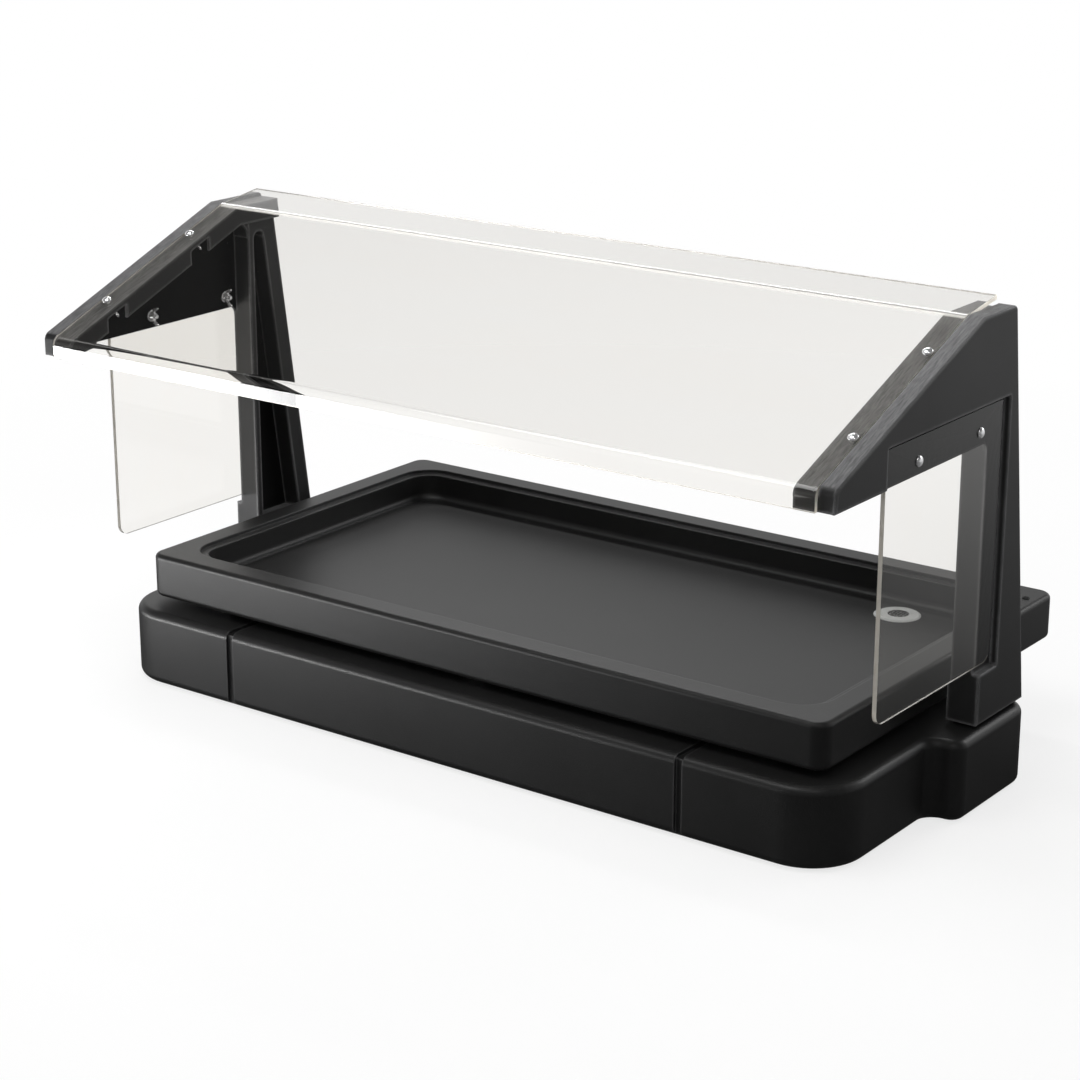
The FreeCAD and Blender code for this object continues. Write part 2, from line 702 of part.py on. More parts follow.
def make_post(word, side):
    """Moulded post: leaning column, braced arm with a turned-down lip, and seats for the sheets."""
    body = new_body(f"post_{word}_body")
    tip_top = slope_z("arm_front_y")
    slab(body, "Pad", f"post_{word}_side", side, "post_outer_x", "arm_inner_x", [
        ("arm_front_y", "guard_lip_z"), ("arm_front_y", tip_top), ("ridge_y", "ridge_z"),
        ("cap_rear_y", "ridge_z"), ("column_rear_y", "foot_z"), ("column_front_y", "foot_z"),
        ("column_front_y", "guard_lip_z")])
    root = ("column_front_y", "guard_lip_z")
    round_edges(body, f"post_{word}_gusset", "gusset_radius", at_corners(0, [root]))
    round_edges(body, f"post_{word}_cap", "cap_radius", at_corners(0, [("cap_rear_y", "ridge_z")]))
    round_edges(body, f"post_{word}_rim", "post_edge_radius", in_plane(0, f"{side} * post_outer_x"))
    low, past = "foot_z - overcut", "column_rear_y + overcut"
    ahead = "arm_front_y - overcut"
    slab(body, "Pocket", f"post_{word}_inside", side, "arm_inner_x", "post_inner_x", [
        (ahead, low), (ahead, slope_z(ahead, "lip_drop")), (cap_bend_y("lip_drop"), "ridge_z - lip_drop"),
        (past, "ridge_z - lip_drop"), (past, low)])
    behind_tip = "arm_front_y + arm_tip_wall"
    slab(body, "Pocket", f"post_{word}_brace", side, "arm_inner_x + lip_wall", "web_x", [
        (behind_tip, "gusset_cut_z"), (behind_tip, slope_z(behind_tip, "plate_drop")),
        (cap_bend_y("plate_drop"), "ridge_z - plate_drop"), ("column_front_y", "ridge_z - plate_drop"),
        ("column_front_y", "gusset_cut_z")])
    round_edges(body, f"post_{word}_arch", "arch_radius",
                at_corners(0, [("column_front_y", "ridge_z - plate_drop")]))
    channel_front = "column_front_y + channel_front_wall"
    ends = "channel_bottom_z", "channel_top_z"
    channel_rear = [f"{rear_edge_y(z)} - channel_rear_wall" for z in ends]
    slab(body, "Pocket", f"post_{word}_channel", side, "post_inner_x", "web_x", [
        (channel_front, ends[0]), (channel_front, ends[1]),
        (channel_rear[1], ends[1]), (channel_rear[0], ends[0])])
    round_edges(body, f"post_{word}_channel_arch", "channel_arch_radius", at_corners(0, [
        (channel_front, ends[1]), (channel_rear[1], ends[1])]))
    slab(body, "Pocket", f"post_{word}_recess", side, "post_outer_x", "recess_x", rectangle(
        "panel_front_y - recess_gap", "recess_rear_y", "recess_bottom_z", "panel_top_z + recess_gap"))
    above = "ridge_z + overcut"
    slab(body, "Pocket", f"post_{word}_rebate", side, "arm_inner_x", "sheet_half + sheet_clearance", [
        (ahead, slope_z(ahead, "rebate_drop")), (cap_bend_y("rebate_drop"), "ridge_z - rebate_drop"),
        (past, "ridge_z - rebate_drop"), (past, above), (ahead, above)])
    round_edges(body, f"post_{word}_brow", "bend_radius + brow_spare",
                at_corners(0, [("arm_front_y", slope_z("arm_front_y", "rebate_drop"))]))
    for spot, y in guard_screw_spots().items():
        ends = f"({y} - notch_half)", f"({y} + notch_half)"
        slab(body, "Pocket", f"post_{word}_notch_{spot}", side, "arm_inner_x", "arm_inner_x + lip_wall", [
            (ends[0], slope_z(ends[0], "lip_drop + overcut")), (ends[0], slope_z(ends[0], "plate_drop")),
            (ends[1], slope_z(ends[1], "plate_drop")), (ends[1], slope_z(ends[1], "lip_drop + overcut"))])
    holes = screw_holes(f"post_{word}_guard_hole", side, "guard")
    holes += screw_holes(f"post_{word}_panel_hole", side, "panel")
    holes += [rod(f"post_{word}_insert_hole_{i}", "insert_radius + insert_gap", "insert_length + overcut", x, y,
                  "foot_z - overcut")
              for i, (x, y) in enumerate(bolt_spots(side))]
    node(f"post_{word}", subtract(f"post_{word}_form", body, collect(f"post_{word}_holes", holes)))


def make_post_fixings(word, side):
    """Foot pad, and the bolts, washers and threaded inserts that hold a post to the plinth's ear."""
    spots = bolt_spots(side)
    pad = doc.addObject("Part::Box", f"foot_pad_{word}_form")
    bind(pad, "Length", "post_width - 2 * foot_pad_inset")
    bind(pad, "Width", "column_rear_y - column_front_y - 2 * foot_pad_inset")
    bind(pad, "Height", "foot_pad_thickness")
    left_edge = "post_inner_x + foot_pad_inset" if side > 0 else "0 - post_outer_x + foot_pad_inset"
    place(pad, left_edge, "column_front_y + foot_pad_inset", "plinth_height")
    holes = [rod(f"foot_pad_{word}_hole_{i}", "bolt_hole", "3 * foot_pad_thickness", x, y,
                 "plinth_height - foot_pad_thickness") for i, (x, y) in enumerate(spots)]
    node(f"post_foot_pad_{word}", subtract(f"foot_pad_{word}", pad, collect(f"foot_pad_{word}_holes", holes)))
    bolts, washers, inserts = [], [], []
    washer_low = "bolt_seat_z - bolt_washer_thickness"
    head_low = f"{washer_low} - bolt_head_height"
    for i, (x, y) in enumerate(spots):
        head = doc.addObject("Part::Prism", f"bolt_head_{word}_{i}")
        bind(head, "Circumradius", "bolt_head_radius")
        bind(head, "Height", "bolt_head_height")
        place(head, x, y, head_low)
        reach = f"foot_z + insert_length - bolt_end_gap - ({washer_low})"
        shank = rod(f"bolt_shank_{word}_{i}", "bolt_radius", reach, x, y, washer_low)
        bolts.append(join(f"bolt_{word}_{i}", [head, shank]))
        washer = ring(f"bolt_washer_{word}_{i}", "bolt_hole", "bolt_washer_radius", washer_low, "bolt_seat_z")
        washers.append(place(washer, x, y, "0"))
        insert = ring(f"insert_{word}_{i}", "bolt_radius + insert_gap", "insert_radius", "foot_z",
                      "foot_z + insert_length")
        inserts.append(place(insert, x, y, "0"))
    node(f"post_bolts_{word}", collect(f"bolts_{word}", bolts))
    node(f"post_bolt_washers_{word}", collect(f"bolt_washers_{word}", washers))
    node(f"post_inserts_{word}", collect(f"inserts_{word}", inserts))


# Clear sheets

def make_guard_sheet():
    """Bent clear sheet: turned-down front lip, long slope and rear roof strip."""
    body = new_body("guard_sheet_body")
    deep = "sheet_thickness"
    inner_brow = (f"guard_front_y + {deep}", slope_z(f"guard_front_y + {deep}", deep))
    inner_ridge_y = f"(ridge_y + {deep} * (slope_run - roof_run) / (slope_rise - roof_rise))"
    inner_ridge = (inner_ridge_y, slope_z(inner_ridge_y, deep))
    slab(body, "Pad", "guard_sheet_side", 1, "0 - sheet_half", "sheet_half", [
        ("guard_front_y", "guard_lip_z"), ("guard_front_y", "guard_brow_z"), ("ridge_y", "ridge_z"),
        ("roof_rear_y", "roof_rear_z"), ("roof_rear_y", roof_z("roof_rear_y", deep)), inner_ridge, inner_brow,
        (f"guard_front_y + {deep}", "guard_lip_z")])
    round_edges(body, "guard_outer_bends", "bend_radius + sheet_thickness",
                at_corners(0, [("guard_front_y", "guard_brow_z"), ("ridge_y", "ridge_z")]))
    round_edges(body, "guard_inner_bends", "bend_radius", at_corners(0, [inner_brow, inner_ridge]))
    holes = [hole for word, side in SIDES.items() for hole in screw_holes(f"sheet_hole_{word}", side, "guard")]
    node("guard_sheet", subtract("guard", body, collect("guard_holes", holes)))


def make_side_panel(word, side):
    """Flat clear panel in the post's outer recess, with rounded lower corners."""
    body = new_body(f"side_panel_{word}_body")
    slab(body, "Pad", f"panel_{word}_side", side, "recess_x", "recess_x + sheet_thickness", rectangle(
        "panel_front_y", "panel_rear_y", "panel_bottom_z", "panel_top_z"))
    round_edges(body, f"panel_{word}_corners", "panel_corner_radius", at_corners(0, [
        ("panel_rear_y", "panel_bottom_z"), ("panel_front_y", "panel_bottom_z")]))
    holes = collect(f"panel_{word}_holes", screw_holes(f"panel_{word}_hole", side, "panel"))
    node(f"side_panel_{word}", subtract(f"panel_{word}", body, holes))


# Hand fasteners

# Shares of a screw head's radius and height along its dome
DOME = [(0, 1), (0.5, 0.87), (0.87, 0.5), (1, 0)]


def dome_screw(name, grip):
    """Dome-headed screw: head up from z = 0 and shank down through the grip."""
    end = f"0 - ({grip}) - washer_thickness - nut_height - screw_spare"
    head = [(f"{across} * head_radius", f"{up} * head_height") for across, up in DOME]
    return turned(name, head + [("screw_radius", "0"), ("screw_radius", end), ("0", end)])


# Shares of a wing's reach and height round its outline
WING = [(0.33, 0.12), (0.5, 0.08), (0.95, 0.55), (1, 0.8), (0.8, 1), (0.33, 0.48)]


def wing_nut(name):
    """Wing nut seated on z = 0, with its two wings along local X."""
    body = turned(name, [
        ("screw_radius + nut_bore_gap", "0"), ("nut_hub_radius", "0"), ("nut_crown_radius", "nut_height"),
        ("screw_radius + nut_bore_gap", "nut_height")])
    half = "wing_thickness / 2"
    for sign in (1, -1):
        sketch = new_sketch(body, f"{name}_wing_{'plus' if sign > 0 else 'minus'}", "XZ_Plane", f"0 - {half}")
        add_outline(sketch, [(f"{sign} * {out} * wing_radius", f"{up} * wing_height") for out, up in WING])
        extrude(body, "Pad", sketch, "wing_thickness")
    return body


def make_hand_fasteners(word, side):
    """Screws, washers and wing nuts of one side's guard arm and side panel."""
    screws, washers = [], []
    for spot, y in guard_screw_spots().items():
        name = f"guard_screw_{word}_{spot}"
        screws.append(on_slope(dome_screw(name, "plate_drop"), side, y, "0"))
        washer = ring(f"{name}_washer", "screw_hole", "washer_radius", "0", "washer_thickness")
        washers.append(on_slope(washer, side, y, "plate_drop + washer_thickness"))
        nut = on_slope(wing_nut(f"{name}_nut"), side, y, "plate_drop + washer_thickness")
        bind(nut, "Placement.Rotation.Angle", "atan(slope_rise) + 180 deg")
        node(f"guard_wing_nut_{word}_{spot}", nut)
    node(f"guard_screws_{word}", collect(f"guard_screws_{word}_set", screws))
    node(f"guard_washers_{word}", collect(f"guard_washers_{word}_set", washers))
    screws, washers = [], []
    for spot, y in panel_screw_spots().items():
        name = f"panel_screw_{word}_{spot}"
        grip = "sheet_thickness + web_thickness"
        screws.append(on_panel(dome_screw(name, grip), side, y, "recess_x + sheet_thickness"))
        washer = ring(f"{name}_washer", "screw_hole", "washer_radius", "0", "washer_thickness")
        washers.append(on_panel(washer, side, y, "web_x - washer_thickness"))
        nut = on_panel(wing_nut(f"{name}_nut"), side, y, "web_x - washer_thickness", inward=True)
        node(f"panel_wing_nut_{word}_{spot}", nut)
    node(f"panel_screws_{word}", collect(f"panel_screws_{word}_set", screws))
    node(f"panel_washers_{word}", collect(f"panel_washers_{word}_set", washers))


def write_nodes():
    """Check every object of the document, then write each sub-part to its own file."""
    doc.recompute()
    failed = [item.Name for item in doc.Objects if "Invalid" in item.State or "Error" in item.State]
    failed += [name for name, item in node_names if item.Shape.isNull() or not item.Shape.isValid()]
    if failed:
        raise RuntimeError(f"These objects failed: {failed}")
    os.makedirs("parts", exist_ok=True)
    for name, item in node_names:
        item.Shape.exportStep(f"parts/{name}.step")
        print(f"{name}: {len(item.Shape.Solids)} solids, {item.Shape.Volume:.0f} mm3")


make_plinth()
make_tray()
make_drain()
for word, side in SIDES.items():
    make_post(word, side)
    make_post_fixings(word, side)
    make_side_panel(word, side)
    make_hand_fasteners(word, side)
make_guard_sheet()
write_nodes()
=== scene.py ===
"""Looks of the buffet bar: moulded black plinth, tray and posts, clear sheets and bright fasteners."""
import json
import math

import bmesh
import bpy
from mathutils import Matrix, Vector


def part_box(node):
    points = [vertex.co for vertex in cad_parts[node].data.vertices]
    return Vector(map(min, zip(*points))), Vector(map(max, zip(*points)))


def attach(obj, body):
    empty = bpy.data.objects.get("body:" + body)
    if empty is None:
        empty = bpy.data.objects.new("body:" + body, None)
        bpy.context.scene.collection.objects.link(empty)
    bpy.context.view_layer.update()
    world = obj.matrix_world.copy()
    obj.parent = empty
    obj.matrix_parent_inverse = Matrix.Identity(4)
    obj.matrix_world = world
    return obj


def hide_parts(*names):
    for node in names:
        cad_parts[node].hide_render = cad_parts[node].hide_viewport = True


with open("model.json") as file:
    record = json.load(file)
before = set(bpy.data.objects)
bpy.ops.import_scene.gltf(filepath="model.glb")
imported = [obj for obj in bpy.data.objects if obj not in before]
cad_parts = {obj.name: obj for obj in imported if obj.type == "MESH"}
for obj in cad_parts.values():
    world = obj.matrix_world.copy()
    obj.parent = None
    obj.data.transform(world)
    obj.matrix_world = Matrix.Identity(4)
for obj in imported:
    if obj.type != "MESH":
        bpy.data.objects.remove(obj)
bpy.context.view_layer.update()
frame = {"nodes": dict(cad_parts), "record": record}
nodes = frame["nodes"]
record = frame["record"]
node_body = {node: body for body, names in record["behaviour"]["bodies"].items() for node in names}
node_slot = {part["node"]: part["material_slot"] for part in record["subparts"]}
joints = {joint["name"]: joint for joint in record["behaviour"]["joints"]}
SIDES = ("left", "right")
SPOTS = ("front", "rear")
MM = 0.001


# Materials

# Where nearly all of a noise pattern's values lie
NOISE_SPAN = (0.3, 0.7)
# Rays that look for edges, and how alike a rounded normal and the plain one are on flat faces and at edges
BEVEL_SAMPLES, FLAT_LIKENESS, EDGE_LIKENESS = 4, 0.995, 0.9
# Upward part of the normal on faces too steep for the lighter tops (scuffs and a painted sheen of overhead
# light), and on level ones
STEEP, LEVEL = 0.7, 0.9


def map_range(tree, source, low, high, out_low, out_high):
    """A value taken from one range to another, whose ends may be numbers or other nodes' outputs."""
    node = tree.nodes.new("ShaderNodeMapRange")
    ends = {"From Min": low, "From Max": high, "To Min": out_low, "To Max": out_high}
    for name, end in ends.items():
        if isinstance(end, bpy.types.NodeSocket):
            tree.links.new(end, node.inputs[name])
        else:
            node.inputs[name].default_value = end
    tree.links.new(source, node.inputs["Value"])
    return node.outputs["Result"]


def along_direction(tree, place, direction):
    """How far a place lies along a direction."""
    node = tree.nodes.new("ShaderNodeVectorMath")
    node.operation = "DOT_PRODUCT"
    tree.links.new(place, node.inputs[0])
    if isinstance(direction, bpy.types.NodeSocket):
        tree.links.new(direction, node.inputs[1])
    else:
        node.inputs[1].default_value = direction
    return node.outputs["Value"]


class Finish:
    """Node tree of one material: its main shader, and patterns in the piece's own coordinates."""

    def __init__(self, name, **constants):
        self.material = bpy.data.materials.new(name)
        self.material.use_nodes = True
        self.tree = self.material.node_tree
        self.main = self.tree.nodes["Principled BSDF"]
        self.output = self.tree.nodes["Material Output"]
        self.coords = self.add("ShaderNodeTexCoord").outputs["Object"]
        for socket, value in constants.items():
            title = socket.replace("_", " ").title().replace("Ior", "IOR")
            self.main.inputs[title].default_value = value

    def add(self, kind):
        return self.tree.nodes.new(kind)

    def link(self, source, target):
        self.tree.links.new(source, target)

    def stretched(self, x, y, z):
        """Coordinates scaled by a different amount along each axis."""
        mapping = self.add("ShaderNodeMapping")
        mapping.inputs["Scale"].default_value = (x, y, z)
        self.link(self.coords, mapping.inputs["Vector"])
        return mapping.outputs["Vector"]

    def noise(self, scale, detail=2.0, roughness=0.5, coords=None):
        """Soft noise with this many features per metre."""
        node = self.add("ShaderNodeTexNoise")
        node.inputs["Scale"].default_value = scale
        node.inputs["Detail"].default_value = detail
        node.inputs["Roughness"].default_value = roughness
        self.link(coords or self.coords, node.inputs["Vector"])
        return node.outputs["Fac"]

    def pebbles(self, scale):
        """Rounded cells, as moulded plastic has in its skin."""
        node = self.add("ShaderNodeTexVoronoi")
        node.feature = "SMOOTH_F1"
        node.inputs["Scale"].default_value = scale
        self.link(self.coords, node.inputs["Vector"])
        return node.outputs["Distance"]

    def remap(self, source, low, high, out_low, out_high):
        return map_range(self.tree, source, low, high, out_low, out_high)

    def blend(self, a, b, kind="ADD", factor=None):
        """Two numbers combined, the second one scaled by a factor."""
        if factor is not None:
            b = self.remap(b, 0, 1, 0, factor)
        node = self.add("ShaderNodeMath")
        node.operation = kind
        self.link(a, node.inputs[0])
        self.link(b, node.inputs[1])
        return node.outputs["Value"]

    def two_tone(self, pattern, dark, pale, span):
        """Colour between two tones, as a pattern goes from one end of its span to the other."""
        ramp = self.add("ShaderNodeValToRGB")
        for element, place, tone in zip(ramp.color_ramp.elements, span, (dark, pale)):
            element.position = place
            element.color = (*tone, 1)
        self.link(pattern, ramp.inputs["Fac"])
        return ramp.outputs["Color"]

    def colours(self, pattern, dark, pale, span=NOISE_SPAN):
        """Colour of the whole surface, between two tones by a pattern."""
        self.link(self.two_tone(pattern, dark, pale, span), self.main.inputs["Base Color"])

    def tint(self, mask, pattern, dark, pale):
        """Other tones over the surface's own colour where the mask is 1."""
        base = self.main.inputs["Base Color"]
        under = base.links[0].from_socket
        mix = self.add("ShaderNodeMix")
        mix.data_type = "RGBA"
        factor, a, b = (socket for socket in mix.inputs if socket.enabled)
        self.link(mask, factor)
        self.link(under, a)
        self.link(self.two_tone(pattern, dark, pale, NOISE_SPAN), b)
        self.link(next(socket for socket in mix.outputs if socket.enabled), base)

    def rounded(self, radius):
        """Normal of the surface with its edges rounded."""
        node = self.add("ShaderNodeBevel")
        node.samples = BEVEL_SAMPLES
        node.inputs["Radius"].default_value = radius
        return node.outputs["Normal"]

    def edge_wear_and_highlight(self, radius):
        """1 along the piece's edges, 0 on flat faces."""
        normal = self.add("ShaderNodeNewGeometry").outputs["Normal"]
        likeness = along_direction(self.tree, self.rounded(radius), normal)
        return self.remap(likeness, FLAT_LIKENESS, EDGE_LIKENESS, 0.0, 1.0)

    def facing_up(self):
        """1 on faces that look up, 0 on upright ones."""
        split = self.add("ShaderNodeSeparateXYZ")
        self.link(self.add("ShaderNodeTexCoord").outputs["Normal"], split.inputs["Vector"])
        return self.remap(split.outputs["Z"], STEEP, LEVEL, 0.0, 1.0)

    def band(self, axis, middle, half):
        """1 on a line across one axis, fading to 0 at this distance from it."""
        split = self.add("ShaderNodeSeparateXYZ")
        self.link(self.coords, split.inputs["Vector"])
        place = split.outputs[axis]
        return self.blend(self.remap(place, middle - half, middle, 0.0, 1.0),
                          self.remap(place, middle, middle + half, 1.0, 0.0), "MULTIPLY")

    def roughness(self, pattern, low, high):
        self.link(self.remap(pattern, *NOISE_SPAN, low, high), self.main.inputs["Roughness"])

    def relief(self, pattern, strength, height, rounding=None):
        """Bump of this height in metres, over edges that may look rounded too."""
        node = self.add("ShaderNodeBump")
        node.inputs["Strength"].default_value = strength
        node.inputs["Distance"].default_value = height
        self.link(pattern, node.inputs["Height"])
        if rounding is not None:
            self.link(self.rounded(rounding), node.inputs["Normal"])
        self.link(node.outputs["Normal"], self.main.inputs["Normal"])

    def mixed_surface(self, factor, other):
        """Surface that goes from the main shader to another one by a factor."""
        mix = self.add("ShaderNodeMixShader")
        self.link(factor, mix.inputs["Fac"])
        self.link(self.main.outputs["BSDF"], mix.inputs[1])
        self.link(other, mix.inputs[2])
        self.link(mix.outputs["Shader"], self.output.inputs["Surface"])


def grey(value):
    """Nearly neutral tone, a touch cool."""
    return (value, value, value * 1.02)


def moulded(name, dark, pale, rough, grain, specular, rubbed_and_highlit=(0.018, 0.05), edge_radius=4 * MM, scuffs_and_sheen=None):
    """Moulded plastic: cloudy tone, pebbled skin, draw marks, and edges lightened partly for wear and partly
    as painted highlights; its tops may get lighter streaks, partly scuffs and partly a painted sheen of
    overhead light.
    """
    finish = Finish(name, specular_ior_level=specular)
    cloud = finish.noise(4.5, detail=4.0, roughness=0.6)
    skin = finish.pebbles(grain)
    fine = finish.noise(grain * 1.6, detail=3.0, roughness=0.6)
    marks = finish.noise(1.0, detail=3.0, roughness=0.6, coords=finish.stretched(3, 3, 46))
    finish.colours(finish.blend(cloud, fine, factor=0.35), grey(dark), grey(pale), span=(0.45, 0.9))
    if scuffs_and_sheen is not None:
        # Lighter streaks on upward faces: partly scuffs, partly a painted sheen of the overhead light
        streaks = finish.noise(1.0, detail=5.0, roughness=0.75, coords=finish.stretched(440, 46, 46))
        finish.tint(finish.facing_up(), finish.remap(streaks, 0.38, 0.64, *NOISE_SPAN), *map(grey, scuffs_and_sheen))
    # Lighter edges: partly wear, partly painted highlights along the edges
    patchy = finish.remap(cloud, 0.35, 0.6, 0.35, 1.0)
    finish.tint(finish.blend(finish.edge_wear_and_highlight(edge_radius), patchy, "MULTIPLY"), fine, *map(grey, rubbed_and_highlit))
    finish.roughness(finish.blend(finish.blend(cloud, marks), fine, factor=0.5), rough - 0.09, rough + 0.03)
    finish.relief(finish.blend(skin, fine, factor=0.5), strength=0.22, height=0.4 * MM, rounding=2 * MM)
    return finish.material


ACRYLIC_IOR = 1.49
# Warm tones of a clear sheet, and the light that it lets through into its shadow
SHEET_TINT, SHEET_PALE, SHEET_SHADOW = (0.998, 0.982, 0.952), (1.0, 0.99, 0.966), (0.93, 0.925, 0.91)
# Half the width of the milky band in a bend, partly hazy crazing and partly a painted highlight, and how
# clear its middle is where it's thickest
BEND_HALF, BEND_CLEAR = 4.5 * MM, 0.15
# Middle of the guard's bend between its slope and its roof
ROOF_BEND_Y = -24 * MM


def acrylic(name, bend_y=None):
    """Clear polished sheet, faintly warm, with wiping marks; lamps shine through it. A bend gets a milky
    band, partly hazy crazing and partly a painted highlight.
    """
    finish = Finish(name, transmission_weight=1.0, ior=ACRYLIC_IOR, specular_ior_level=0.5)
    smear = finish.noise(7.0, detail=4.0, roughness=0.65, coords=finish.stretched(0.6, 2.2, 1.0))
    finish.colours(smear, SHEET_TINT, SHEET_PALE, span=(0.3, 0.75))
    finish.roughness(smear, 0.003, 0.014)
    finish.relief(finish.noise(3.0, detail=1.0), strength=0.012, height=0.6 * MM)
    if bend_y is not None:
        # Painted highlight along the bend, mixed with hazy crazing: the sheet is less clear in a band there
        patchy = finish.remap(smear, 0.3, 0.6, 0.6, 1.0)
        bend_haze_and_highlight = finish.blend(finish.band("Y", bend_y, BEND_HALF), patchy, "MULTIPLY")
        finish.link(finish.remap(bend_haze_and_highlight, 0.0, 1.0, 1.0, BEND_CLEAR), finish.main.inputs["Transmission Weight"])
    clear = finish.add("ShaderNodeBsdfTransparent")
    clear.inputs["Color"].default_value = (*SHEET_SHADOW, 1)
    finish.mixed_surface(finish.add("ShaderNodeLightPath").outputs["Is Shadow Ray"], clear.outputs["BSDF"])
    return finish.material


def cut_edge(name, dark, pale, clear):
    """Sawn edge of a clear sheet: matt and pale as a sawn face is, with a warm tone painted in for the light
    that runs along inside the sheet.
    """
    finish = Finish(name, transmission_weight=clear, ior=ACRYLIC_IOR)
    marks = finish.noise(1.0, detail=3.0, roughness=0.6, coords=finish.stretched(900, 60, 60))
    finish.colours(marks, dark, pale)
    finish.roughness(marks, 0.3, 0.5)
    finish.relief(marks, strength=0.2, height=0.1 * MM)
    return finish.material


def metal(name, dark, pale, rough, brushed=0.0, metallic=1.0):
    """Plated or machined metal with fine polishing marks and a little tarnish."""
    finish = Finish(name, metallic=metallic)
    tarnish = finish.noise(160.0, detail=4.0, roughness=0.6)
    finish.colours(tarnish, dark, pale, span=(0.35, 0.7))
    marks = finish.noise(1.0, detail=2.0, roughness=0.6, coords=finish.stretched(300, 300, 2600))
    finish.roughness(finish.blend(tarnish, marks, "MULTIPLY"), rough * 0.7, rough * 1.5)
    finish.relief(marks, strength=0.02 + brushed, height=0.05 * MM)
    return finish.material


def plain(name, dark, pale, rough, grain, relief, specular=0.4):
    """Rubber, foam or small plastic parts: speckled tone with a fine skin."""
    finish = Finish(name, specular_ior_level=specular)
    speckle = finish.noise(grain, detail=4.0, roughness=0.65)
    finish.colours(speckle, dark, pale)
    finish.roughness(speckle, rough - 0.06, rough + 0.06)
    finish.relief(finish.noise(grain * 2.2, detail=3.0), strength=relief, height=0.4 * MM)
    return finish.material


# Each finish: the function that makes it, and its looks
FINISHES = {
    "moulded_black": (moulded, dict(dark=0.0028, pale=0.007, rough=0.39, grain=760.0, specular=0.37,
                                    rubbed_and_highlit=(0.02, 0.07))),
    # The posts' lighter edges and tops are partly wear and scuffs, partly painted highlight and sheen
    "post_black": (moulded, dict(dark=0.007, pale=0.016, rough=0.42, grain=620.0, specular=0.3,
                                 rubbed_and_highlit=(0.1, 0.24), edge_radius=7 * MM, scuffs_and_sheen=(0.055, 0.155))),
    # Painted shade: a darker, matt copy of the posts' black for pockets and recessed edges
    "shaded_black": (moulded, dict(dark=0.002, pale=0.005, rough=0.62, grain=620.0, specular=0.1)),
    "clear_acrylic": (acrylic, dict()),
    "bent_acrylic": (acrylic, dict(bend_y=ROOF_BEND_Y)),
    "acrylic_edge": (cut_edge, dict(dark=(0.76, 0.7, 0.6), pale=(0.9, 0.86, 0.78), clear=0.65)),
    # Painted shade on the side panels' bottom edges
    "acrylic_low_edge": (cut_edge, dict(dark=(0.1, 0.095, 0.085), pale=(0.2, 0.19, 0.17), clear=0.2)),
    "bright_metal": (metal, dict(dark=(0.84, 0.84, 0.85), pale=(0.95, 0.95, 0.96), rough=0.17, metallic=0.8)),
    "zinc_steel": (metal, dict(dark=(0.42, 0.42, 0.41), pale=(0.6, 0.6, 0.6), rough=0.34, brushed=0.08)),
    "brass": (metal, dict(dark=(0.52, 0.36, 0.13), pale=(0.74, 0.55, 0.24), rough=0.3)),
    "soft_rubber": (plain, dict(dark=(0.008, 0.008, 0.008), pale=(0.02, 0.02, 0.02), rough=0.8, grain=420.0,
                                relief=0.3, specular=0.25)),
    "glide_plastic": (plain, dict(dark=(0.012, 0.012, 0.013), pale=(0.026, 0.026, 0.027), rough=0.42,
                                  grain=240.0, relief=0.12)),
    "foam": (plain, dict(dark=(0.55, 0.45, 0.24), pale=(0.78, 0.68, 0.42), rough=0.9, grain=520.0,
                         relief=0.9, specular=0.2)),
    "valve_plastic": (plain, dict(dark=(0.36, 0.37, 0.37), pale=(0.46, 0.47, 0.47), rough=0.36, grain=150.0,
                                  relief=0.1)),
}
finishes = {name: make(name, **looks) for name, (make, looks) in FINISHES.items()}


def paint(obj, slot):
    """Give a piece the finish of one of the record's material slots."""
    obj.data.materials.clear()
    obj.data.materials.append(finishes[slot])


# Pieces

# Finished edges that turn by less than the first are shaded smooth; CAD edges that turn by more than the
# second are sharp, and may be rounded
SMOOTH_BELOW, SHARP_ABOVE = math.radians(38), math.radians(30)
# Corners of a CAD mesh nearer than this are one corner, and faces that turn by less than this are one face
WELD, FLAT_WITHIN = 0.002 * MM, math.radians(0.2)


def add_object(name, data):
    """Object in the scene for a mesh, a light or a camera."""
    obj = bpy.data.objects.new(name, data)
    bpy.context.scene.collection.objects.link(obj)
    return obj


def new_piece(name, bm, body, slot):
    """Turn an edited mesh into a piece that rides on a body."""
    for face in bm.faces:
        face.smooth = True
    bm.normal_update()
    for edge in bm.edges:
        edge.smooth = len(edge.link_faces) == 2 and edge.calc_face_angle(0.0) < SMOOTH_BELOW
    mesh = bpy.data.meshes.new(name)
    bm.to_mesh(mesh)
    bm.free()
    obj = add_object(name, mesh)
    paint(obj, slot)
    normals = obj.modifiers.new("even_normals", "WEIGHTED_NORMAL")
    normals.keep_sharp = True
    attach(obj, body)
    return obj


def stand_in(node, bm):
    """Turn an edited mesh into the piece that stands for a CAD node."""
    piece = new_piece(f"{node}_form", bm, node_body[node], node_slot[node])
    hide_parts(node)
    return piece


def islands(bm):
    """Groups of vertices that edges join."""
    left = set(bm.verts)
    while left:
        group, queue = set(), [left.pop()]
        while queue:
            vert = queue.pop()
            group.add(vert)
            for edge in vert.link_edges:
                other = edge.other_vert(vert)
                if other in left:
                    left.discard(other)
                    queue.append(other)
        yield group


def box_of(verts):
    """Lowest and highest corners of some vertices."""
    lows = [min(vert.co[i] for vert in verts) for i in range(3)]
    highs = [max(vert.co[i] for vert in verts) for i in range(3)]
    return lows, highs


def lies_inside(box, outer):
    """Whether one box lies wholly inside another."""
    (lows, highs), (outer_lows, outer_highs) = box, outer
    return all(a < low and high < b for a, low, high, b in zip(outer_lows, lows, highs, outer_highs))


